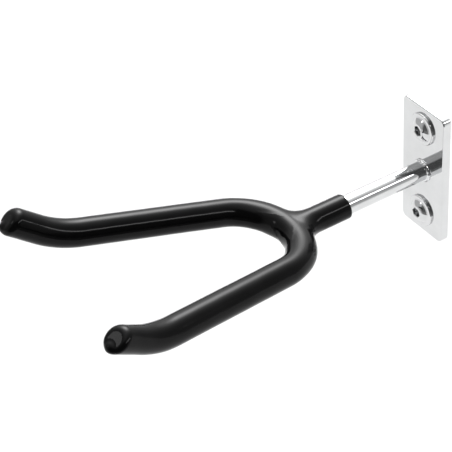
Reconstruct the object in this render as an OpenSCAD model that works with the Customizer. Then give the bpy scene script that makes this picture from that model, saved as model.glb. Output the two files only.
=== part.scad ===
// Bicycle wall rack: a chrome wall plate, a round stem and a dipped two-arm fork.
// Millimetres. The origin is the middle of the plate's back face, the wall is the
// plane Y = 0, the rack reaches out along -Y, and +Z is up.

/* [Wall plate] */
// Width of the plate along the wall
plate_width = 40; // [30:1:60]
// Height of the plate up the wall
plate_height = 95; // [90:1:140]
// Thickness of the flat bar the plate is cut from
plate_thickness = 6; // [4:0.5:10]
// Radius of the plate's four corners
plate_corner_radius = 4; // [1:0.5:8]
// Bevel on the front face's outer edge
plate_edge_break = 0.5; // [0.2:0.1:1]
// From one screw hole's middle to the other's
screw_spacing = 64; // [50:1:66]
// Diameter of the two screw holes
screw_hole_diameter = 11; // [11:0.5:14]

/* [Stem] */
// Diameter of the round rod
stem_diameter = 12.7; // [10:0.1:16]
// From the plate's front face to the middle of the fork bar
stem_reach = 101; // [60:1:200]
// Leg of the fillet weld round the stem's root
root_weld_leg = 1.8; // [1:0.1:4]

/* [Fork bar] */
// Diameter of the bent round bar
fork_bar_diameter = 14; // [12:0.5:18]
// Upward slope of the fork from the level stem
fork_rise_angle = 10; // [0:1:20]
// Outward angle of each arm
arm_splay_angle = 12; // [0:1:25]
// Radius of the bend between the arms, on the bar's centre line
fork_bend_radius = 36; // [30:1:60]
// Straight length of each arm between its two bends
arm_length = 89; // [60:1:200]
// Extra upward slope of the tips past that of the arms
tip_rise_angle = 26.5; // [10:0.5:60]
// Radius of the bend at the foot of each tip, on the bar's centre line
tip_bend_radius = 60; // [25:1:90]
// Straight length of bare bar past that bend
tip_length = 20; // [12:0.5:40]
// Radius of the weld's hollow in the corners between stem and bend
fork_weld_radius = 7; // [5:0.5:9]
// Height of that weld, along the bend's axis
fork_weld_height = 8; // [5:0.5:10]

/* [Coating] */
// Thickness of the dipped skin
coating_thickness = 1.9; // [1.8:0.1:3]
// From the middle of the fork bar back along the stem to the skin's mouth
sleeve_length = 41; // [30:1:55]
// Rolled rim at that mouth
sleeve_edge_radius = 1.6; // [0.5:0.1:1.7]
// Rolled rim at the end of each tip
tip_edge_radius = 3.8; // [1:0.1:5]
// Radius of the skin's hollow in the corners between stem and bend
web_radius = 9; // [6:0.5:11]
// Height of that web, along the bend's axis
web_height = 11; // [9:0.5:12]
// Radius of the drop that hangs at the end of each tip
drip_radius = 2.6; // [1.5:0.1:3.5]

/* [Screws] */
// Diameter of the collar under the screw's head
collar_diameter = 21.9; // [18:0.1:26]
// Thickness of that collar
collar_thickness = 1.7; // [1:0.1:2.4]
// Diameter of the domed head where it leaves the collar
dome_diameter = 16.5; // [14:0.1:17.5]
// Diameter of the flat on top of the head
dome_flat_diameter = 9; // [8:0.1:11]
// From the plate's front face to the top of the head
head_height = 4.6; // [4:0.1:6]
// Width across the flats of the hexagon socket
socket_width = 6; // [4:0.5:6.5]
// Depth of that socket
socket_depth = 3; // [2:0.1:3.5]
// Diameter of the smooth shank in the plate
neck_diameter = 9; // [7:0.1:9.5]
// Outer diameter of the thread
thread_diameter = 10; // [9.5:0.5:11]
// How far the thread stands out behind the plate
thread_reach = 6; // [4:0.5:60]
// Bevel on the thread's free end
thread_chamfer = 1; // [0.5:0.1:2]
// Turn of the lower screw's socket from the upper one's
lower_screw_turn = 25; // [0:1:60]

/* [Hidden] */

$fn = 180;

chrome = "silver";
bare_steel = "dimgray";
black_skin = "#121214";

front = -plate_thickness;
stem_radius = stem_diameter / 2;
bar_radius = fork_bar_diameter / 2;
coat_radius = bar_radius + coating_thickness;
sleeve_radius = stem_radius + coating_thickness;
fork_y = front - stem_reach;
fork_turn = 180 - 2 * arm_splay_angle;
coated_tip_length = tip_length + coating_thickness;
drip_inset = drip_radius * 0.75;

// How far a cut runs past what it cuts, and how far two parts of one piece overlap
margin = 1;
overlap = 0.5;

// The shank stays this much longer than the plate is thick
neck_end = 0.3;
dome_height = head_height - collar_thickness;
dome_base = dome_diameter / 2;
dome_top = dome_flat_diameter / 2;
dome_drop = (pow(dome_base, 2) - pow(dome_top, 2) - pow(dome_height, 2)) / (2 * dome_height);
dome_radius = sqrt(pow(dome_base, 2) + pow(dome_drop, 2));

// ---- placing ----

// Puts +Z along -Y, away from the wall, starting at y
module outward(y) {
    translate([0, y, 0])
        rotate([90, 0, 0])
            children();
}

// The fork's own frame: origin on the middle of the bend, arms along -Y
module fork_frame() {
    translate([0, fork_y, 0])
        rotate([-fork_rise_angle, 0, 0])
            children();
}

// The start of one straight arm, which runs along -Y. side is 1 or -1.
module arm_frame(side) {
    reach = fork_bend_radius * cos(arm_splay_angle);
    depth = fork_bend_radius * (1 - sin(arm_splay_angle));
    translate([side * reach, -depth, 0])
        rotate([0, 0, side * arm_splay_angle])
            children();
}

// The start of the straight upturned tip, which runs along -Y
module tip_frame() {
    run = tip_bend_radius * sin(tip_rise_angle);
    rise = tip_bend_radius * (1 - cos(tip_rise_angle));
    translate([0, -arm_length - run, rise])
        rotate([-tip_rise_angle, 0, 0])
            children();
}

// ---- bent bar ----

module fork_bend(radius) {
    translate([0, -fork_bend_radius, 0])
        rotate([0, 0, arm_splay_angle])
            rotate_extrude(angle = fork_turn)
                translate([fork_bend_radius, 0])
                    circle(radius);
}

module tip_bend(radius) {
    translate([0, -arm_length, tip_bend_radius])
        rotate([0, 90, 0])
            rotate([0, 0, -tip_rise_angle])
                rotate_extrude(angle = tip_rise_angle)
                    translate([tip_bend_radius, 0])
                        circle(radius);
}

module arm(radius) {
    rotate([90, 0, 0])
        cylinder(r = radius, h = arm_length);
    tip_bend(radius);
}

// A round bar end with a rolled rim, along +Z
module rounded_end(radius, length, rim) {
    rotate_extrude() {
        square([radius, length - rim]);
        square([radius - rim, length]);
        intersection() {
            translate([radius - rim, length - rim])
                circle(rim);
            square([radius, length]);
        }
    }
}

// ---- web filling the corners where the stem meets the bend ----

module web(stem_side, bend_side, radius, height) {
    across = stem_side + radius;
    along = sqrt(pow(bend_side + radius, 2) - pow(across, 2)) - fork_bend_radius;
    edge = across * bend_side / (bend_side + radius);
    translate([0, 0, -height / 2])
        linear_extrude(height)
            difference() {
                translate([-edge, 0])
                    square([2 * edge, along]);
                for (side = [-1, 1])
                    translate([side * across, along])
                        circle(radius);
            }
}

module bare_web() {
    fork_frame()
        web(
            stem_radius - overlap,
            fork_bend_radius + bar_radius - overlap,
            fork_weld_radius,
            fork_weld_height
        );
}

module coated_web() {
    fork_frame()
        web(
            sleeve_radius - overlap,
            fork_bend_radius + coat_radius - overlap,
            web_radius,
            web_height
        );
}

// ---- the pieces ----

module plate_outline() {
    radius = plate_corner_radius;
    square([plate_width - 2 * radius, plate_height], center = true);
    square([plate_width, plate_height - 2 * radius], center = true);
    for (x = [-1, 1], z = [-1, 1])
        translate([x * (plate_width / 2 - radius), z * (plate_height / 2 - radius)])
            circle(radius);
}

// What is taken off a sharp edge: the edge is at the origin, metal is down and left
module edge_break_profile() {
    reach = plate_edge_break;
    polygon([
        [0, -reach],
        [reach, -reach],
        [reach, reach],
        [-reach, reach],
        [-reach, 0]
    ]);
}

module edge_cut(length) {
    rotate([90, 0, 90])
        translate([0, 0, -length / 2])
            linear_extrude(length)
                edge_break_profile();
}

module corner_cut() {
    rotate_extrude(angle = 90)
        translate([plate_corner_radius, 0])
            edge_break_profile();
}

// The front face's outer edge, laid out in the plate's own plane
module front_edge_cuts() {
    across = plate_width / 2;
    along = plate_height / 2;
    for (turn = [0, 180])
        rotate([0, 0, turn]) {
            translate([0, along, plate_thickness])
                edge_cut(plate_width - 2 * plate_corner_radius);
            translate([across, 0, plate_thickness])
                rotate([0, 0, -90])
                    edge_cut(plate_height - 2 * plate_corner_radius);
        }
    for (turn = [0, 180], flip = [0, 1])
        rotate([0, 0, turn])
            mirror([flip, 0, 0])
                translate([
                    across - plate_corner_radius,
                    along - plate_corner_radius,
                    plate_thickness
                ])
                    corner_cut();
}

module wall_plate() {
    color(chrome)
        difference() {
            outward(0)
                difference() {
                    linear_extrude(plate_thickness)
                        plate_outline();
                    front_edge_cuts();
                }
            for (z = [-1, 1])
                translate([0, 0, z * screw_spacing / 2])
                    outward(margin)
                        cylinder(d = screw_hole_diameter, h = plate_thickness + 2 * margin);
        }
}

module bare_fork() {
    fork_frame() {
        fork_bend(bar_radius);
        for (side = [-1, 1])
            arm_frame(side) {
                arm(bar_radius);
                tip_frame()
                    rotate([90, 0, 0])
                        cylinder(r = bar_radius, h = tip_length);
            }
    }
}

// The rod's end is coped to saddle the bend
module stem_rod() {
    color(chrome)
        difference() {
            outward(front)
                cylinder(r = stem_radius, h = stem_reach);
            fork_frame()
                fork_bend(bar_radius);
        }
}

module root_weld() {
    color(chrome)
        outward(front)
            rotate_extrude()
                translate([stem_radius, 0])
                    intersection() {
                        circle(root_weld_leg);
                        square(root_weld_leg);
                    }
}

module fork_bar() {
    color(bare_steel)
        bare_fork();
}

module fork_weld() {
    color(bare_steel)
        difference() {
            bare_web();
            outward(front)
                cylinder(r = stem_radius, h = stem_reach);
            fork_frame()
                fork_bend(bar_radius);
        }
}

// The sleeve's open end faces the wall
module sleeve() {
    translate([0, fork_y, 0])
        rotate([-90, 0, 0])
            rounded_end(sleeve_radius, sleeve_length, sleeve_edge_radius);
}

// The last drop of the dip sets at the lowest point of each tip
module drip() {
    translate([0, drip_inset - coated_tip_length, drip_radius - coat_radius])
        sphere(drip_radius);
}

module coated_fork() {
    fork_frame() {
        fork_bend(coat_radius);
        for (side = [-1, 1])
            arm_frame(side) {
                arm(coat_radius);
                tip_frame() {
                    rotate([90, 0, 0])
                        rounded_end(coat_radius, coated_tip_length, tip_edge_radius);
                    drip();
                }
            }
    }
}

module fork_coating() {
    color(black_skin)
        difference() {
            union() {
                coated_fork();
                sleeve();
                coated_web();
            }
            bare_fork();
            outward(front)
                cylinder(r = stem_radius, h = stem_reach);
            bare_web();
        }
}

module screw_dome() {
    intersection() {
        translate([0, 0, collar_thickness - dome_drop])
            sphere(dome_radius);
        cylinder(r = dome_base, h = head_height);
    }
}

// Collar button head screw, head along +Z from its seat
module collar_screw() {
    difference() {
        union() {
            cylinder(d = collar_diameter, h = collar_thickness);
            screw_dome();
        }
        translate([0, 0, head_height - socket_depth])
            cylinder(d = socket_width / cos(30), h = socket_depth + margin, $fn = 6);
    }
    translate([0, 0, -plate_thickness - neck_end])
        cylinder(d = neck_diameter, h = plate_thickness + neck_end);
    translate([0, 0, -plate_thickness - thread_reach + thread_chamfer])
        cylinder(d = thread_diameter, h = thread_reach - thread_chamfer - neck_end);
    translate([0, 0, -plate_thickness - thread_reach])
        cylinder(
            d1 = thread_diameter - 2 * thread_chamfer,
            d2 = thread_diameter,
            h = thread_chamfer
        );
}

module upper_screw() {
    color(chrome)
        translate([0, 0, screw_spacing / 2])
            outward(front)
                collar_screw();
}

module lower_screw() {
    color(chrome)
        translate([0, 0, -screw_spacing / 2])
            outward(front)
                rotate([0, 0, lower_screw_turn])
                    collar_screw();
}

wall_plate();
stem_rod();
root_weld();
fork_bar();
fork_weld();
fork_coating();
upper_screw();
lower_screw();
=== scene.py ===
import math

import bmesh
import bpy
import numpy as np
from mathutils import Matrix, Vector

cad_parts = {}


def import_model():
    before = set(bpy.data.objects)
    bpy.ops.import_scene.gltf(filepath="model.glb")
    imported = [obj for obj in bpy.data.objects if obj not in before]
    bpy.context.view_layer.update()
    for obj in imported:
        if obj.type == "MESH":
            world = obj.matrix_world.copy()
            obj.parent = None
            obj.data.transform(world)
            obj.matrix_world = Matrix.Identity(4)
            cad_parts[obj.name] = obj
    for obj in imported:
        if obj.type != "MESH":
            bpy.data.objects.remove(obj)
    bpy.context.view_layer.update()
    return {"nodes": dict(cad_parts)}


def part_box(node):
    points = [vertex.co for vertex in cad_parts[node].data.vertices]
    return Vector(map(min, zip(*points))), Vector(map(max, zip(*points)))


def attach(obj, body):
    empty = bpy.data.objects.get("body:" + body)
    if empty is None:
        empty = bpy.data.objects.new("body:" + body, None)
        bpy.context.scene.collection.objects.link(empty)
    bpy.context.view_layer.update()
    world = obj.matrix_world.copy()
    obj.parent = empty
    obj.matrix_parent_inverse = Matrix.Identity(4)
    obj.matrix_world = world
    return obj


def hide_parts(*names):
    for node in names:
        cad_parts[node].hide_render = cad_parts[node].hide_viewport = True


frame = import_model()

# The looks of the bicycle wall rack: a chrome plate, stem and screws, and a fork
# dipped in black vinyl. Its lengths are millimetres and are scaled to metres when a
# mesh is made; the studio's are metres. The wall is the plane Y = 0, the rack reaches
# out along -Y, and +Z is up.
MM = 0.001


# ---- sizes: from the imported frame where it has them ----

def box_mm(node):
    """The low and the high corner of a CAD node's box."""
    low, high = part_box(node)
    return np.array(low) / MM, np.array(high) / MM


plate_low, plate_high = box_mm("wall_plate")
stem_low, stem_high = box_mm("stem_rod")
screw_low, screw_high = box_mm("upper_screw")

# The plate
FRONT = plate_low[1]
PLATE_THICKNESS = plate_high[1] - plate_low[1]
PLATE_CORNER = 4
PLATE_EDGE = 0.8
HOLE_RADIUS = 5.5
HOLE_EDGE = 0.3

# The stem, from the plate's front to the middle of the fork's bend, and its weld
STEM_RADIUS = (stem_high[0] - stem_low[0]) / 2
STEM_REACH = 101
STEM_IN_SLEEVE = 6
WELD_LEG = 1.8
WELD_SINK = 0.4
WELD_RIPPLES = 12

# The screws
SCREW_HEIGHT = (screw_low[2] + screw_high[2]) / 2
COLLAR_RADIUS = (screw_high[0] - screw_low[0]) / 2
COLLAR_THICKNESS = 1.7
COLLAR_EDGE = 0.85
HEAD_HEIGHT = FRONT - screw_low[1]
DOME_RADIUS = 8.25
DOME_FLAT = 4.5
SOCKET_ACROSS = 6
SOCKET_DEPTH = 3
# How far the painted shade in the screws' sockets darkens their colour
SOCKET_SHADE = 0.42
NECK_RADIUS = 4.5
THREAD_END = FRONT - screw_high[1]
THREAD_RADIUS = 5
THREAD_PITCH = 1.5
THREAD_DEPTH = 0.85
RINGS_PER_TURN = 12

# The fork's steel bar, in its own frame: origin on the middle of the bend, arms along -Y
FORK_Y = FRONT - STEM_REACH
FORK_RISE = math.radians(10)
ARM_SPLAY = math.radians(12)
BAR_RADIUS = 7
BEND_RADIUS = 36
ARM_LENGTH = 89
TIP_RISE = math.radians(26.5)
TIP_BEND_RADIUS = 60
BARE_TIP_LENGTH = 17.5
BARE_TIP_RIM = 4

# The coating: its skin, its sleeve over the stem, and its two unlike tips
COAT = 1.9
GRIP = 1.0
SLEEVE_LENGTH = 41
SLEEVE_RIM = 1.75
SLEEVE_TILT = 0.07
JUNCTION_BLEND = 14
POOL_INSIDE = 1.0
POOL_OUTSIDE = 0.6
LEFT_TIP_LENGTH = 20.6
RIGHT_TIP_LENGTH = 20.4
LEFT_TIP_SLANT = 0.2
RIGHT_TIP_SLANT = 0.36
RIGHT_TIP_THINNING = 0.85
COATED_TIP_RIM = 4.4
DRIP_RADIUS = 2.2
DRIP_DROP = 4.8
DRIP_REACH = 0.7
DRIP_BLEND = 2.5

# Where the coating begins to pool and to thin, and over how much it comes to the full
# amount: in degrees up the bend from its sides, and in lengths past the straight arm
POOL_START = 25
POOL_RAMP = 25
THINNING_START = 8
THINNING_RAMP = 26

# The grids that the fork's surfaces are made on
COATING_STEP = 0.9
BAR_STEP = 1.4
GRID_MARGIN = 3

# The colours of the metals
CHROME_TONE = (0.675, 0.68, 0.685)
WELD_CHROME_TONE = (0.68, 0.685, 0.69)
BARE_STEEL_TONE = (0.45, 0.45, 0.46)
WELD_STEEL_TONE = (0.38, 0.37, 0.36)

# The studio's levels of light: the room, and what the directions below, behind and
# overhead add to it, and how much of it the dark side takes away
ROOM_LEVEL = 0.54
BELOW_LEVEL = 0.45
GLOW_LEVEL = 19.0
OVERHEAD_LEVEL = 0.6
DARK_SHARE = 0.8

# The eye, which looks at the middle of the rack: its angles are degrees, its places are
# metres and its lens is millimetres
RACK_MIDDLE = Vector((0, -0.13, 0))
EYE_AZIMUTH = 60.31
EYE_ELEVATION = 38.47
EYE_ROLL = -4.76
EYE_DISTANCE = 0.9244
EYE_LEFT = 0.02013
EYE_UP = 0.01158
EYE_LENS = 122.3


# ---- meshes ----

def add_piece(name, vertices, faces, replaced):
    """A mesh piece that rides on the rack's one body and stands for a CAD node."""
    mesh = bpy.data.meshes.new(name)
    mesh.from_pydata((np.asarray(vertices) * MM).tolist(), [], faces)
    mesh.update()
    piece = bpy.data.objects.new(name, mesh)
    bpy.context.scene.collection.objects.link(piece)
    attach(piece, "root")
    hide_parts(replaced)
    return piece


def smooth(piece, angle):
    """Shades the piece smooth except at edges sharper than the angle, in degrees.

    Large faces keep their own direction, so that a flat mirror stays flat.
    """
    piece.data.polygons.foreach_set("use_smooth", [True] * len(piece.data.polygons))
    piece.data.set_sharp_from_angle(angle=math.radians(angle))
    even = piece.modifiers.new("even_shading", "WEIGHTED_NORMAL")
    even.keep_sharp = True


def outward(points, y=0, z=0):
    """Puts +Z along -Y, away from the wall, with its start at (0, y, z)."""
    points = np.asarray(points, float)
    return np.stack([points[:, 0], y - points[:, 2], z + points[:, 1]], axis=1)


def turned_mesh(rings, sides):
    """Vertices and faces of a closed solid round +Z, from rings of (radius, height).

    A radius or a height is one number or one for each side. The first and last rings
    have radius 0 and become single points.
    """
    angles = np.arange(sides) * 2 * math.pi / sides
    vertices = [[0, 0, float(np.mean(rings[0][1]))]]
    for radius, height in rings[1:-1]:
        radius = np.broadcast_to(radius, sides)
        height = np.broadcast_to(height, sides)
        ring = np.stack([radius * np.cos(angles), radius * np.sin(angles), height], axis=1)
        vertices.extend(ring.tolist())
    vertices.append([0, 0, float(np.mean(rings[-1][1]))])
    last = len(vertices) - 1
    faces = []
    for i in range(sides):
        j = (i + 1) % sides
        faces.append((0, 1 + j, 1 + i))
        for k in range(len(rings) - 3):
            a, b = 1 + k * sides, 1 + (k + 1) * sides
            faces.append((a + i, a + j, b + j, b + i))
        a = last - sides
        faces.append((a + i, a + j, last))
    return vertices, faces


def arc(centre_radius, centre_height, radius, start, end, steps):
    """Points (radius, height) on an arc about a centre, angles in degrees."""
    turns = np.radians(np.linspace(start, end, steps + 1))
    return [(centre_radius + radius * math.cos(t), centre_height + radius * math.sin(t))
            for t in turns]


# ---- the stem and its weld ----

def stem():
    """The round rod, from the plate's front to just inside the sleeve."""
    length = STEM_REACH - SLEEVE_LENGTH + STEM_IN_SLEEVE
    rings = [(0, 0)]
    rings += [(STEM_RADIUS, h) for h in np.linspace(0, length, 24)]
    rings += [(0, length)]
    vertices, faces = turned_mesh(rings, 192)
    piece = add_piece("stem", outward(vertices, FRONT), faces, "stem_rod")
    smooth(piece, 40)
    return piece


def root_weld():
    """The fillet bead round the stem's root, laid down in overlapping ripples."""
    sides = 240
    sunk = STEM_RADIUS - WELD_SINK
    angles = np.arange(sides) * 2 * math.pi / sides
    ripple = 0.5 + 0.5 * np.cos(angles * WELD_RIPPLES + 0.6 * np.sin(angles * 3))
    swell = 1 + 0.05 * np.sin(angles * 2 + 0.7)
    leg = WELD_LEG * (0.88 + 0.12 * ripple) * swell
    leg = np.minimum(leg, WELD_LEG)
    rings = [(0, 0), (sunk, 0)]
    for t in np.radians(np.linspace(0, 90, 13)):
        rings.append((STEM_RADIUS + leg * math.cos(t), leg * math.sin(t)))
    top = rings[-1][1]
    rings += [(sunk, top), (0, top)]
    vertices, faces = turned_mesh(rings, sides)
    piece = add_piece("weld_bead", outward(vertices, FRONT), faces, "root_weld")
    smooth(piece, 60)
    return piece


# ---- the plate ----

def plate_outline(inset, steps=14):
    """A rounded rectangle, anticlockwise, moved in by inset."""
    across = (plate_high[0] - plate_low[0]) / 2 - PLATE_CORNER
    along = (plate_high[2] - plate_low[2]) / 2 - PLATE_CORNER
    points = []
    for turn, (x, z) in enumerate([(1, 1), (-1, 1), (-1, -1), (1, -1)]):
        for step in range(steps + 1):
            t = math.radians(90 * (turn + step / steps))
            reach = PLATE_CORNER - inset
            points.append((x * across + reach * math.cos(t), z * along + reach * math.sin(t)))
    return points


def hole_outline(height, radius, steps=72):
    """A circle on the plate's upright centre line, anticlockwise."""
    return [(radius * math.cos(t), height + radius * math.sin(t))
            for t in np.arange(steps) * 2 * math.pi / steps]


def plate_edge_profile(edge, steps=5):
    """Pairs of (inset, height above the back) up an edge rounded at both faces."""
    turns = np.radians(np.linspace(0, 90, steps + 1))
    profile = [(edge * (1 - math.sin(t)), edge * (1 - math.cos(t))) for t in turns]
    profile += [(edge * (1 - math.cos(t)), PLATE_THICKNESS - edge * (1 - math.sin(t)))
                for t in turns]
    return profile


def plate():
    """A length of flat bar with rounded corners and edges and two screw holes."""
    mesh = bmesh.new()

    def loft(outline):
        """Joins the levels (points, height) by faces; gives the first and last loop."""
        loops = [[mesh.verts.new((x, y, height)) for x, y in points]
                 for points, height in outline]
        for lower, upper in zip(loops, loops[1:]):
            for i in range(len(lower)):
                j = (i + 1) % len(lower)
                mesh.faces.new((lower[i], lower[j], upper[j], upper[i]))
        return loops[0], loops[-1]

    ends = [loft([(plate_outline(inset), height)
                  for inset, height in plate_edge_profile(PLATE_EDGE)])]
    for side in (-1, 1):
        ends.append(loft([(hole_outline(side * SCREW_HEIGHT, HOLE_RADIUS + inset)[::-1], height)
                          for inset, height in plate_edge_profile(HOLE_EDGE)]))
    for which in (0, 1):
        edges = []
        for loops in ends:
            loop = loops[which]
            for i in range(len(loop)):
                edges.append(mesh.edges.get((loop[i], loop[(i + 1) % len(loop)])))
        bmesh.ops.triangle_fill(mesh, edges=edges, use_beauty=True,
                                normal=(0, 0, 1 if which else -1))
    bmesh.ops.recalc_face_normals(mesh, faces=mesh.faces)
    vertices = [tuple(v.co) for v in mesh.verts]
    for index, vertex in enumerate(mesh.verts):
        vertex.index = index
    faces = [tuple(v.index for v in face.verts) for face in mesh.faces]
    mesh.free()
    piece = add_piece("plate", outward(vertices), faces, "wall_plate")
    smooth(piece, 30)
    return piece


# ---- the screws ----

def hexagon(across, sides):
    """The radius of a hexagon at each of the ring's sides."""
    angles = np.arange(sides) * 2 * math.pi / sides
    return across / 2 / np.cos((angles + math.pi / 6) % (math.pi / 3) - math.pi / 6)


def thread_rings(start, end, sides):
    """Rings of a screw thread: one helical ridge that fades out at both ends."""
    angles = np.arange(sides) / sides
    rings = []
    for height in np.arange(start, end, -THREAD_PITCH / RINGS_PER_TURN):
        phase = (height / THREAD_PITCH - angles) % 1
        ridge = np.clip(1.15 - 2.3 * np.abs(phase - 0.5), 0, 1)
        fade = min(1, (start - height) / 0.8, (height - end) / 1.2 + 0.25)
        rings.append((THREAD_RADIUS - THREAD_DEPTH * (1 - ridge * max(fade, 0)), height))
    return rings


def screw_rings(sides):
    """A collar button head screw, from the socket's floor out and down to its point."""
    floor = HEAD_HEIGHT - SOCKET_DEPTH
    hexagon_radius = hexagon(SOCKET_ACROSS, sides)
    rise = HEAD_HEIGHT - COLLAR_THICKNESS
    drop = (DOME_RADIUS ** 2 - DOME_FLAT ** 2 - rise ** 2) / (2 * rise)
    dome = math.hypot(DOME_RADIUS, drop)
    # The socket: the drill's cone, the hexagon and its chamfered lip
    rings = [(0, floor - 0.9), (0.3, floor - 0.88), (2.3, floor - 0.2), (2.6, floor)]
    rings += [(hexagon_radius * 0.97, floor), (hexagon_radius, floor + 0.15)]
    rings += [(hexagon_radius, HEAD_HEIGHT - 0.45)]
    rings += [(hexagon_radius * wider, HEAD_HEIGHT - depth)
              for wider, depth in ((1.05, 0.25), (1.09, 0.08), (1.11, 0.01))]
    rings += [(3.95, HEAD_HEIGHT), (DOME_FLAT - 0.35, HEAD_HEIGHT)]
    # The dome and the collar
    start = math.degrees(math.atan2(rise + drop, DOME_FLAT))
    end = math.degrees(math.atan2(drop, DOME_RADIUS))
    rings += arc(0, COLLAR_THICKNESS - drop, dome, start - 1.2, end + 2.5, 20)
    rings += arc(DOME_RADIUS + 0.42, COLLAR_THICKNESS + 0.4, 0.38, 200, 270, 5)
    rings += [(COLLAR_RADIUS - COLLAR_EDGE - 0.3, COLLAR_THICKNESS)]
    rings += arc(COLLAR_RADIUS - COLLAR_EDGE, COLLAR_THICKNESS - COLLAR_EDGE, COLLAR_EDGE,
                 84, 0, 8)
    rings += arc(COLLAR_RADIUS - 0.2, 0.2, 0.2, 0, -90, 3)
    # The shank, in the plate's hole and behind it
    rings += [(NECK_RADIUS + 0.3, 0), (NECK_RADIUS, -0.3), (NECK_RADIUS, -PLATE_THICKNESS)]
    rings += thread_rings(-PLATE_THICKNESS - 0.1, THREAD_END + 0.1, sides)
    rings += [(THREAD_RADIUS - 1.1, THREAD_END), (0.5, THREAD_END), (0, THREAD_END)]
    return rings


def screw(name, replaced, height, turn):
    """One screw at a height on the plate, its socket turned by so many degrees."""
    sides = 144
    vertices, faces = turned_mesh(screw_rings(sides), sides)
    turned = np.array(vertices) @ np.array(Matrix.Rotation(math.radians(turn), 3, "Z")).T
    # The rings run from the head to the point, so the faces are turned inside out
    faces = [face[::-1] for face in faces]
    piece = add_piece(name, outward(turned, FRONT, height), faces, replaced)
    smooth(piece, 32)
    return piece


# ---- the fork's bar and coating, each as a distance from its surface ----

def fork_local(points):
    """World points in the fork's own frame."""
    cos, sin = math.cos(FORK_RISE), math.sin(FORK_RISE)
    y, z = points[:, 1] - FORK_Y, points[:, 2]
    return points[:, 0], y * cos - z * sin, y * sin + z * cos


def capped(side, end, rim):
    """Distance from a solid with a side and an end that meet in a rolled rim."""
    return (np.minimum(np.maximum(side + rim, end + rim), 0)
            + np.hypot(np.maximum(side + rim, 0), np.maximum(end + rim, 0)) - rim)


def arm_places(x, y):
    """How far along and how far across one straight arm, with both arms folded onto one."""
    x = np.abs(x) - BEND_RADIUS * math.cos(ARM_SPLAY)
    y = y + BEND_RADIUS * (1 - math.sin(ARM_SPLAY))
    along = x * math.sin(ARM_SPLAY) - y * math.cos(ARM_SPLAY)
    return along, x * math.cos(ARM_SPLAY) + y * math.sin(ARM_SPLAY)


def tip_places(run, fall):
    """How far past the tip's bend, and how far above the tip's centre line."""
    past = run * math.cos(TIP_RISE) - fall * math.sin(TIP_RISE)
    above = TIP_BEND_RADIUS - run * math.sin(TIP_RISE) - fall * math.cos(TIP_RISE)
    return past, above


def fork_tube(points, radius, tip_length, rim, slant=0.0):
    """Distance from the bent bar; its ends are cut with a slant, longest underneath."""
    x, y, z = fork_local(points)
    from_centre = np.hypot(x, y + BEND_RADIUS)
    bend = np.hypot(from_centre - BEND_RADIUS, z)
    in_bend = np.arctan2(y + BEND_RADIUS, np.abs(x)) >= ARM_SPLAY
    along, across = arm_places(x, y)
    run, fall = along - ARM_LENGTH, TIP_BEND_RADIUS - z
    past, above = tip_places(run, fall)
    hook = np.hypot(np.hypot(run, fall) - TIP_BEND_RADIUS, across)
    core = np.where(in_bend, bend,
                    np.where(run < 0, np.hypot(across, z),
                             np.where(past < 0, hook, np.hypot(above, across))))
    end = np.where(in_bend | (past < 0), -1e3, past + slant * above - tip_length)
    return capped(core - radius, end, rim)


def smooth_union(a, b, width):
    """The union of two solids with their corner filled over the given width."""
    width = np.maximum(width, 1e-3)
    fill = np.maximum(width - np.abs(a - b), 0) / width
    return np.minimum(a, b) - fill * fill * width / 4


def facing_alike(points):
    """How alike the bend's and the sleeve's surfaces face: 0 at a corner, 1 where level."""
    x, y, z = fork_local(points)
    from_centre = np.maximum(np.hypot(x, y + BEND_RADIUS), 1e-6)
    side = from_centre - BEND_RADIUS
    bend = np.maximum(np.hypot(side, z), 1e-6)
    cos, sin = math.cos(FORK_RISE), math.sin(FORK_RISE)
    bend_x = side / bend * x / from_centre
    bend_z = (z * cos - side * (y + BEND_RADIUS) / from_centre * sin) / bend
    sleeve = np.maximum(np.hypot(points[:, 0], points[:, 2]), 1e-6)
    return np.clip((bend_x * points[:, 0] + bend_z * points[:, 2]) / sleeve, 0, 1)


def eased(t):
    """A ramp from 0 to 1 with a soft start and end."""
    return t * t * (3 - 2 * t)


def bend_pooling(points):
    """The dip pools thicker on the inside of the bend, and a little on its outside."""
    x, y, z = fork_local(points)
    from_centre = np.hypot(x, y + BEND_RADIUS)
    inward = BEND_RADIUS - from_centre
    round_bar = np.maximum(np.hypot(inward, z), 1e-6)
    turn = np.degrees(np.arctan2(y + BEND_RADIUS, np.abs(x)))
    window = eased(np.clip((turn - POOL_START) / POOL_RAMP, 0, 1))
    facing = inward / round_bar
    return window * (POOL_INSIDE * np.clip(facing, 0, 1) ** 2
                     + POOL_OUTSIDE * np.clip(-facing, 0, 1) ** 2)


def tip_thinning(points):
    """The coating thins towards the tip of the arm at +X, where the dip ran off."""
    x, y, _ = fork_local(points)
    along, _ = arm_places(x, y)
    window = eased(np.clip((along - ARM_LENGTH - THINNING_START) / THINNING_RAMP, 0, 1))
    return np.where(x > 0, RIGHT_TIP_THINNING * window, 0)


def own_side(points, left, right):
    """The left or the right tip's value, for the side that each point is on."""
    return np.where(points[:, 0] > 0, right, left)


def coated_tip_length(points):
    """The length of the coated tip's straight stretch."""
    return own_side(points, LEFT_TIP_LENGTH, RIGHT_TIP_LENGTH)


def coated_tip_slant(points):
    """How far the tip's end leans: its length gained for each step down."""
    return own_side(points, LEFT_TIP_SLANT, RIGHT_TIP_SLANT)


def drips(points):
    """The last drop of the dip, set at the lowest point of each tip."""
    x, y, z = fork_local(points)
    along, across = arm_places(x, y)
    past, above = tip_places(along - ARM_LENGTH, TIP_BEND_RADIUS - z)
    end = coated_tip_length(points) - own_side(points, 0, RIGHT_TIP_THINNING)
    past = past - end - coated_tip_slant(points) * DRIP_DROP + DRIP_RADIUS - DRIP_REACH
    return np.sqrt(past ** 2 + (above + DRIP_DROP) ** 2 + across ** 2) - DRIP_RADIUS


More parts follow.
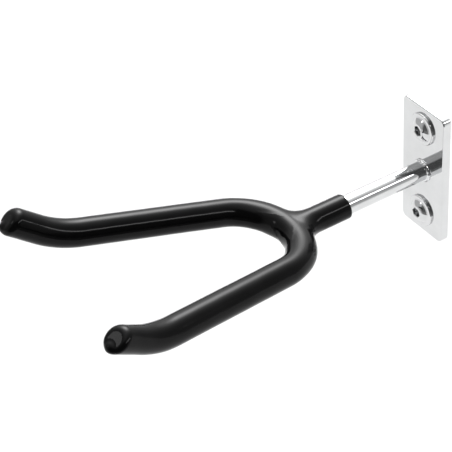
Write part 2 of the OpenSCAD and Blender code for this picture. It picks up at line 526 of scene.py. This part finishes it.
def dip_waviness(points):
    """Slow unevenness that a dipped skin sets with."""
    x, y, z = points[:, 0], points[:, 1], points[:, 2]
    return (0.045 * np.sin(x / 7.3 + 0.4) * np.sin(y / 8.9 + 1.1) * np.sin(z / 6.1 + 2.0)
            + 0.02 * np.sin(x / 3.1 + y / 4.3) * np.sin(z / 3.7 - y / 5.9))


def bar_distance(points):
    """Distance from the bent steel bar inside the coating."""
    return fork_tube(points, BAR_RADIUS, BARE_TIP_LENGTH, BARE_TIP_RIM)


def coat_distance(points):
    """Distance from the coating: a skin over the bar, open where the stem goes in.

    It laps into the bar and the stem by the grip, because a thinner shell would pinch
    its mesh.
    """
    fork = fork_tube(points, BAR_RADIUS + COAT, coated_tip_length(points), COATED_TIP_RIM,
                     coated_tip_slant(points))
    fork = fork - bend_pooling(points) + tip_thinning(points)
    stem_side = np.hypot(points[:, 0], points[:, 2])
    toward_wall = points[:, 1] - FORK_Y
    mouth = toward_wall + SLEEVE_TILT * (points[:, 2] + COAT) - SLEEVE_LENGTH
    sleeve = capped(stem_side - STEM_RADIUS - COAT, mouth, SLEEVE_RIM)
    sleeve = np.maximum(sleeve, -toward_wall)
    skin = smooth_union(fork, sleeve, JUNCTION_BLEND * (1 - facing_alike(points)))
    skin = smooth_union(skin, drips(points), DRIP_BLEND)
    skin = skin + dip_waviness(points)
    rod = np.maximum(stem_side - STEM_RADIUS, -toward_wall)
    return np.maximum(skin, -np.minimum(bar_distance(points), rod) - GRIP)


def slope(distance, points, step=0.02):
    """The unit direction in which the distance grows fastest."""
    grown = np.zeros_like(points)
    for axis in range(3):
        offset = np.zeros(3)
        offset[axis] = step
        grown[:, axis] = distance(points + offset) - distance(points - offset)
    return grown / np.maximum(np.linalg.norm(grown, axis=1, keepdims=True), 1e-9)


def sample(distance, low, high, step):
    """The distance at every point of a grid, worked out one slab at a time."""
    axes = [np.arange(low[k], high[k] + step, step) for k in range(3)]
    y, z = np.meshgrid(axes[1], axes[2], indexing="ij")
    values = np.empty([len(a) for a in axes], np.float32)
    for i, x in enumerate(axes[0]):
        points = np.stack([np.full(y.size, x), y.ravel(), z.ravel()], axis=1)
        values[i] = distance(points).reshape(y.shape)
    return values


def cell_points(values, inside):
    """One point in each grid cell that the surface crosses, and a grid of their numbers.

    A point is the mean of the places where the surface cuts its cell's edges.
    """
    corners = [(a, b, c) for a in (0, 1) for b in (0, 1) for c in (0, 1)]
    cells = np.array(values.shape) - 1
    count = np.zeros(cells, np.int8)
    for offset in corners:
        count += inside[tuple(slice(o, o + n) for o, n in zip(offset, cells))]
    crossed = np.argwhere((count > 0) & (count < len(corners)))
    index = np.full(cells, -1, np.int64)
    index[tuple(crossed.T)] = np.arange(len(crossed))
    total = np.zeros((len(crossed), 3))
    number = np.zeros(len(crossed))
    for offset in corners:
        for axis in range(3):
            if offset[axis]:
                continue
            far = list(offset)
            far[axis] = 1
            a = values[tuple((crossed + offset).T)]
            b = values[tuple((crossed + far).T)]
            cut = (a < 0) != (b < 0)
            place = crossed[cut] + np.array(offset, float)
            place[:, axis] += a[cut] / (a[cut] - b[cut])
            total[cut] += place
            number[cut] += 1
    return total / number[:, None], index


def line_quads(inside, index):
    """One quad round each grid line that the surface crosses, facing out of the solid."""
    faces = []
    for axis in range(3):
        u, v = (axis + 1) % 3, (axis + 2) % 3
        near = [slice(None)] * 3
        near[axis] = slice(0, -1)
        ahead = [slice(None)] * 3
        ahead[axis] = slice(1, None)
        starts = inside[tuple(near)]
        lines = np.argwhere(starts != inside[tuple(ahead)])
        outward_line = starts[tuple(lines.T)]
        quad = []
        for du, dv in ((0, 0), (1, 0), (1, 1), (0, 1)):
            cell = lines.copy()
            cell[:, u] -= du
            cell[:, v] -= dv
            quad.append(index[tuple(cell.T)])
        quad = np.stack(quad, axis=1)
        faces.append(np.where(outward_line[:, None], quad, quad[:, ::-1]))
    return np.concatenate(faces)


def skin_mesh(distance, low, high, step):
    """A closed quad mesh of the surface where the distance is 0.

    It is made on a grid, and its points are then drawn onto the surface itself.
    """
    values = sample(distance, low, high, step)
    inside = values < 0
    places, index = cell_points(values, inside)
    points = np.array(low) + places * step
    for _ in range(3):
        points = points - slope(distance, points) * distance(points)[:, None]
    return points, line_quads(inside, index)


def skinned(name, node, distance, step):
    """A piece whose surface is where the distance is 0, shaded by the distance's slope."""
    low, high = box_mm(node)
    points, faces = skin_mesh(distance, low - GRID_MARGIN, high + GRID_MARGIN, step)
    piece = add_piece(name, points, faces.tolist(), node)
    piece.data.polygons.foreach_set("use_smooth", [True] * len(piece.data.polygons))
    piece.data.normals_split_custom_set_from_vertices(slope(distance, points).tolist())
    return piece


def coating():
    """The black vinyl skin, dipped over the fork and the end of the stem."""
    return skinned("vinyl_coating", "fork_coating", coat_distance, COATING_STEP)


def bent_bar():
    """The steel bar that the coating covers, in one length, its ends ground round."""
    return skinned("bent_bar", "fork_bar", bar_distance, BAR_STEP)


# ---- materials ----

def new_material(name):
    """A new material with its nodes and links."""
    material = bpy.data.materials.new(name)
    material.use_nodes = True
    return material, material.node_tree.nodes, material.node_tree.links


def object_noise(material, scale, detail=3.0, stretch=(1, 1, 1)):
    """Noise fixed to the object, with the given number of cells to a metre."""
    nodes, links = material.node_tree.nodes, material.node_tree.links
    place = nodes.new("ShaderNodeTexCoord")
    mapping = nodes.new("ShaderNodeMapping")
    mapping.inputs["Scale"].default_value = stretch
    noise = nodes.new("ShaderNodeTexNoise")
    noise.inputs["Scale"].default_value = scale
    noise.inputs["Detail"].default_value = detail
    links.new(place.outputs["Object"], mapping.inputs["Vector"])
    links.new(mapping.outputs["Vector"], noise.inputs["Vector"])
    return noise.outputs["Fac"]


def ramp(material, factor, stops):
    """A colour ramp over the factor; stops are (place, colour)."""
    nodes, links = material.node_tree.nodes, material.node_tree.links
    node = nodes.new("ShaderNodeValToRGB")
    while len(node.color_ramp.elements) < len(stops):
        node.color_ramp.elements.new(0.5)
    for element, (place, colour) in zip(node.color_ramp.elements, stops):
        element.position = place
        element.color = (*colour, 1)
    links.new(factor, node.inputs["Fac"])
    return node.outputs["Color"]


def spread(material, factor, low, high):
    """The factor's middle range stretched from low to high."""
    nodes, links = material.node_tree.nodes, material.node_tree.links
    node = nodes.new("ShaderNodeMapRange")
    node.inputs["From Min"].default_value = 0.3
    node.inputs["From Max"].default_value = 0.7
    node.inputs["To Min"].default_value = low
    node.inputs["To Max"].default_value = high
    links.new(factor, node.inputs["Value"])
    return node.outputs["Result"]


def bumps(material, layers):
    """Bump layers of (height, depth in metres), one over another."""
    nodes, links = material.node_tree.nodes, material.node_tree.links
    normal = None
    for height, depth in layers:
        bump = nodes.new("ShaderNodeBump")
        bump.inputs["Strength"].default_value = 1.0
        bump.inputs["Distance"].default_value = depth
        links.new(height, bump.inputs["Height"])
        if normal:
            links.new(normal, bump.inputs["Normal"])
        normal = bump.outputs["Normal"]
    links.new(normal, nodes["Principled BSDF"].inputs["Normal"])


def chrome(name, tone, roughness, grain, grain_depth, wave_depth):
    """Bright plating: the polishing lines and waves of the steel show through it."""
    material, nodes, links = new_material(name)
    shader = nodes["Principled BSDF"]
    shader.inputs["Metallic"].default_value = 1.0
    clouds = object_noise(material, 90, 4)
    dark = tuple(c * 0.93 for c in tone)
    links.new(ramp(material, clouds, [(0.3, dark), (0.7, tone)]), shader.inputs["Base Color"])
    haze = object_noise(material, 420, 5, grain)
    links.new(spread(material, haze, *roughness), shader.inputs["Roughness"])
    lines = object_noise(material, 900, 2, grain)
    waves = object_noise(material, 55, 1)
    bumps(material, [(waves, wave_depth), (lines, grain_depth)])
    return material


def paint_socket_shade(material):
    """Painted shade: the screws' sockets are darkened in colour for the shade that falls in the
    recess, into which the plating also hardly reaches.

    The painted shade depends on how far a place is from the axis of its own screw.
    """
    nodes, links = material.node_tree.nodes, material.node_tree.links
    place = nodes.new("ShaderNodeTexCoord")
    source = place.outputs["Object"]
    for operation, value in (("MULTIPLY", (1, 0, 1)), ("ABSOLUTE", (0, 0, 0)),
                             ("DISTANCE", (0, 0, SCREW_HEIGHT * MM))):
        step = nodes.new("ShaderNodeVectorMath")
        step.operation = operation
        step.inputs[1].default_value = value
        links.new(source, step.inputs[0])
        source = step.outputs["Value" if operation == "DISTANCE" else "Vector"]
    # The painted shade: darkest inside the socket, fading out near its walls
    shade = nodes.new("ShaderNodeMapRange")
    shade.inputs["From Min"].default_value = (SOCKET_ACROSS / 2 - 0.1) * MM
    shade.inputs["From Max"].default_value = (SOCKET_ACROSS / 2 + 0.2) * MM
    shade.inputs["To Min"].default_value = SOCKET_SHADE
    links.new(source, shade.inputs["Value"])
    colour = nodes["Principled BSDF"].inputs["Base Color"]
    shaded = nodes.new("ShaderNodeVectorMath")
    shaded.operation = "MULTIPLY"
    links.new(colour.links[0].from_socket, shaded.inputs[0])
    links.new(shade.outputs["Result"], shaded.inputs[1])
    links.new(shaded.outputs["Vector"], colour)


def vinyl():
    """Glossy black dipped vinyl: a faint orange peel under a wet-looking skin."""
    material, nodes, links = new_material("black_vinyl")
    shader = nodes["Principled BSDF"]
    clouds = object_noise(material, 60, 4)
    tones = [(0.3, (0.0016, 0.0016, 0.0017)), (0.7, (0.0032, 0.0032, 0.0034))]
    links.new(ramp(material, clouds, tones), shader.inputs["Base Color"])
    smear = object_noise(material, 110, 5)
    links.new(spread(material, smear, 0.12, 0.18), shader.inputs["Roughness"])
    shader.inputs["IOR"].default_value = 1.5
    shader.inputs["Specular IOR Level"].default_value = 0.07
    shader.inputs["Coat Weight"].default_value = 0.11
    shader.inputs["Coat Roughness"].default_value = 0.04
    peel = object_noise(material, 700, 3)
    flow = object_noise(material, 120, 2)
    bumps(material, [(flow, 0.00002), (peel, 0.000006)])
    return material


def steel(name, tone):
    """Bare steel under the coating: drawn lines along the bar and a little scale."""
    material, nodes, links = new_material(name)
    shader = nodes["Principled BSDF"]
    shader.inputs["Metallic"].default_value = 1.0
    scale = object_noise(material, 160, 6)
    dark = tuple(c * 0.55 for c in tone)
    links.new(ramp(material, scale, [(0.35, dark), (0.6, tone)]), shader.inputs["Base Color"])
    links.new(spread(material, scale, 0.5, 0.28), shader.inputs["Roughness"])
    lines = object_noise(material, 1500, 3, (1, 0.05, 1))
    bumps(material, [(lines, 0.00001), (scale, 0.00003)])
    return material


def dress(piece, material):
    """Gives every slot of the piece the material."""
    if not piece.data.materials:
        piece.data.materials.append(material)
    for place in piece.material_slots:
        place.material = material


# ---- the studio ----

def heading(azimuth, elevation):
    """The direction at an azimuth from -Y towards +X and an elevation, in degrees."""
    a, e = math.radians(azimuth), math.radians(elevation)
    return Vector((math.sin(a) * math.cos(e), -math.cos(a) * math.cos(e), math.sin(e)))


def floor(height, reach_to_eye, reach_away):
    """A pale table top that ends in front of the eye and runs far the other way."""
    mesh = bpy.data.meshes.new("studio_floor")
    to_eye = heading(EYE_AZIMUTH, 0)
    across = Vector((-to_eye.y, to_eye.x, 0))
    corners = [to_eye * along + across * side + Vector((0, 0, height))
               for along, side in ((reach_to_eye, -reach_away), (reach_to_eye, reach_away),
                                   (-reach_away, reach_away), (-reach_away, -reach_away))]
    mesh.from_pydata([tuple(corner) for corner in corners], [], [(0, 1, 2, 3)])
    piece = bpy.data.objects.new("studio_floor", mesh)
    bpy.context.scene.collection.objects.link(piece)
    material, nodes, links = new_material("studio_floor")
    shader = nodes["Principled BSDF"]
    clouds = object_noise(material, 3, 2)
    tones = [(0.3, (0.585, 0.585, 0.585)), (0.7, (0.6, 0.6, 0.6))]
    links.new(ramp(material, clouds, tones), shader.inputs["Base Color"])
    shader.inputs["Roughness"].default_value = 1.0
    shader.inputs["Specular IOR Level"].default_value = 0.0
    dress(piece, material)
    return piece


def soft_box(name, place, aim, width, depth, radiance):
    """A plain rectangular light of the given size in metres that faces the aim."""
    light = bpy.data.lights.new(name, "AREA")
    light.shape = "RECTANGLE"
    light.size = width
    light.size_y = depth
    light.energy = radiance * math.pi * width * depth
    lamp = bpy.data.objects.new(name, light)
    bpy.context.scene.collection.objects.link(lamp)
    lamp.location = place
    lamp.rotation_mode = "QUATERNION"
    lamp.rotation_quaternion = (Vector(aim) - Vector(place)).to_track_quat("-Z", "Y")
    lamp.visible_camera = False
    return lamp


def strip_light():
    """A long level strip, off to the right of the rack and running back past the wall."""
    nearest = heading(95, 0) * 1.5
    run = heading(185, 0)
    place = nearest + run * 0.56 + Vector((0, 0, 1.19))
    lamp = soft_box("strip_light", place, RACK_MIDDLE, width=1.8, depth=0.2, radiance=9)
    facing = (RACK_MIDDLE - place).normalized()
    across = run.cross(facing).normalized()
    lamp.rotation_quaternion = Matrix((run, across, -facing)).transposed().to_quaternion()


def world():
    """A pale backdrop for the camera; the surfaces see a dim room lit from behind."""
    surroundings = bpy.data.worlds.new("studio")
    bpy.context.scene.world = surroundings
    surroundings.use_nodes = True
    nodes, links = surroundings.node_tree.nodes, surroundings.node_tree.links
    place = nodes.new("ShaderNodeTexCoord")

    def toward(direction, stops):
        """A level that depends on the angle from a direction; stops are (degrees, level)."""
        dot = nodes.new("ShaderNodeVectorMath")
        dot.operation = "DOT_PRODUCT"
        dot.inputs[1].default_value = direction
        links.new(place.outputs["Generated"], dot.inputs[0])
        spread_out = nodes.new("ShaderNodeMapRange")
        spread_out.inputs["From Min"].default_value = -1
        links.new(dot.outputs["Value"], spread_out.inputs["Value"])
        level = nodes.new("ShaderNodeValToRGB")
        level.color_ramp.interpolation = "EASE"
        while len(level.color_ramp.elements) < len(stops):
            level.color_ramp.elements.new(0.5)
        for element, (angle, tone) in zip(level.color_ramp.elements, stops[::-1]):
            element.position = (math.cos(math.radians(angle)) + 1) / 2
            element.color = (tone, tone, tone, 1)
        links.new(spread_out.outputs["Result"], level.inputs["Fac"])
        return level.outputs["Color"]

    def joined(operation, first, second):
        """A sum, difference or product of two levels, each a number or a socket."""
        node = nodes.new("ShaderNodeMath")
        node.operation = operation
        for socket, value in zip(node.inputs, (first, second)):
            if isinstance(value, (int, float)):
                socket.default_value = value
            else:
                links.new(value, socket)
        return node.outputs["Value"]

    # A window behind the wall, a panel overhead, the table's light from below, and a dark
    # stretch of room in front of the rack
    glow = toward(heading(-130, 44), [(0, 1), (6, 0.92), (12, 0.6), (18, 0.28), (25, 0.12),
                                      (36, 0.04), (50, 0.01), (62, 0)])
    overhead = toward(heading(0, 90), [(0, 1), (15, 0.7), (32, 0)])
    below = toward(heading(0, -90), [(0, 1), (84, 1), (92, 0)])
    dark = toward(heading(58, 12), [(0, 1), (46, 1), (58, 0.25), (66, 0)])
    room = joined("ADD", ROOM_LEVEL, joined("MULTIPLY", below, BELOW_LEVEL))
    kept = joined("SUBTRACT", 1.0, joined("MULTIPLY", dark, DARK_SHARE))
    room = joined("MULTIPLY", room, kept)
    light = joined("ADD", joined("MULTIPLY", glow, GLOW_LEVEL),
                   joined("MULTIPLY", overhead, OVERHEAD_LEVEL))
    level = joined("ADD", room, light)
    seen = nodes.new("ShaderNodeLightPath")
    choice = nodes.new("ShaderNodeMix")
    links.new(seen.outputs["Is Camera Ray"], choice.inputs["Factor"])
    links.new(level, choice.inputs["A"])
    choice.inputs["B"].default_value = 1.0
    background = nodes["Background"]
    background.inputs["Color"].default_value = (1, 1, 1, 1)
    links.new(choice.outputs["Result"], background.inputs["Strength"])


def camera():
    """The eye stands in front of the rack to its right, looking down at it."""
    roll = math.radians(EYE_ROLL)
    back = heading(EYE_AZIMUTH, EYE_ELEVATION)
    right = heading(EYE_AZIMUTH + 90, 0)
    up = back.cross(right)
    right, up = (right * math.cos(roll) + up * math.sin(roll),
                 up * math.cos(roll) - right * math.sin(roll))
    aim = RACK_MIDDLE - right * EYE_LEFT + up * EYE_UP
    place = Matrix((right, up, back)).transposed().to_4x4()
    place.translation = aim + back * EYE_DISTANCE
    data = bpy.data.cameras.new("camera")
    data.sensor_width = 36
    data.lens = EYE_LENS
    data.clip_start = 0.05
    data.clip_end = 60
    eye = bpy.data.objects.new("camera", data)
    eye.matrix_world = place
    bpy.context.scene.collection.objects.link(eye)
    bpy.context.scene.camera = eye


# ---- everything ----

camera()

plate_finish = chrome("plate_chrome", CHROME_TONE, roughness=(0.03, 0.075),
                      grain=(1, 1, 0.04), grain_depth=0.0000015, wave_depth=0.000006)
stem_finish = chrome("stem_chrome", CHROME_TONE, roughness=(0.03, 0.07),
                     grain=(1, 0.04, 1), grain_depth=0.0000015, wave_depth=0.000006)
weld_finish = chrome("weld_chrome", WELD_CHROME_TONE, roughness=(0.05, 0.12),
                     grain=(1, 1, 1), grain_depth=0.000004, wave_depth=0.00006)
screw_finish = chrome("screw_chrome", CHROME_TONE, roughness=(0.04, 0.1),
                      grain=(1, 1, 1), grain_depth=0.000002, wave_depth=0.00003)
# Painted shade in the screws' sockets, darkening the chrome's colour there
paint_socket_shade(screw_finish)

dress(plate(), plate_finish)
dress(stem(), stem_finish)
dress(root_weld(), weld_finish)
dress(screw("screw_upper", "upper_screw", SCREW_HEIGHT, 0), screw_finish)
dress(screw("screw_lower", "lower_screw", -SCREW_HEIGHT, 25), screw_finish)
dress(coating(), vinyl())
dress(bent_bar(), steel("bare_steel", BARE_STEEL_TONE))
dress(frame["nodes"]["fork_weld"], steel("weld_steel", WELD_STEEL_TONE))

floor(height=-0.35, reach_to_eye=0.72, reach_away=6)
strip_light()
soft_box("front_lamp", RACK_MIDDLE + heading(-27, 42) * 1.6, RACK_MIDDLE,
         width=0.22, depth=0.3, radiance=4)
world()
bpy.context.scene.view_settings.view_transform = "Standard"
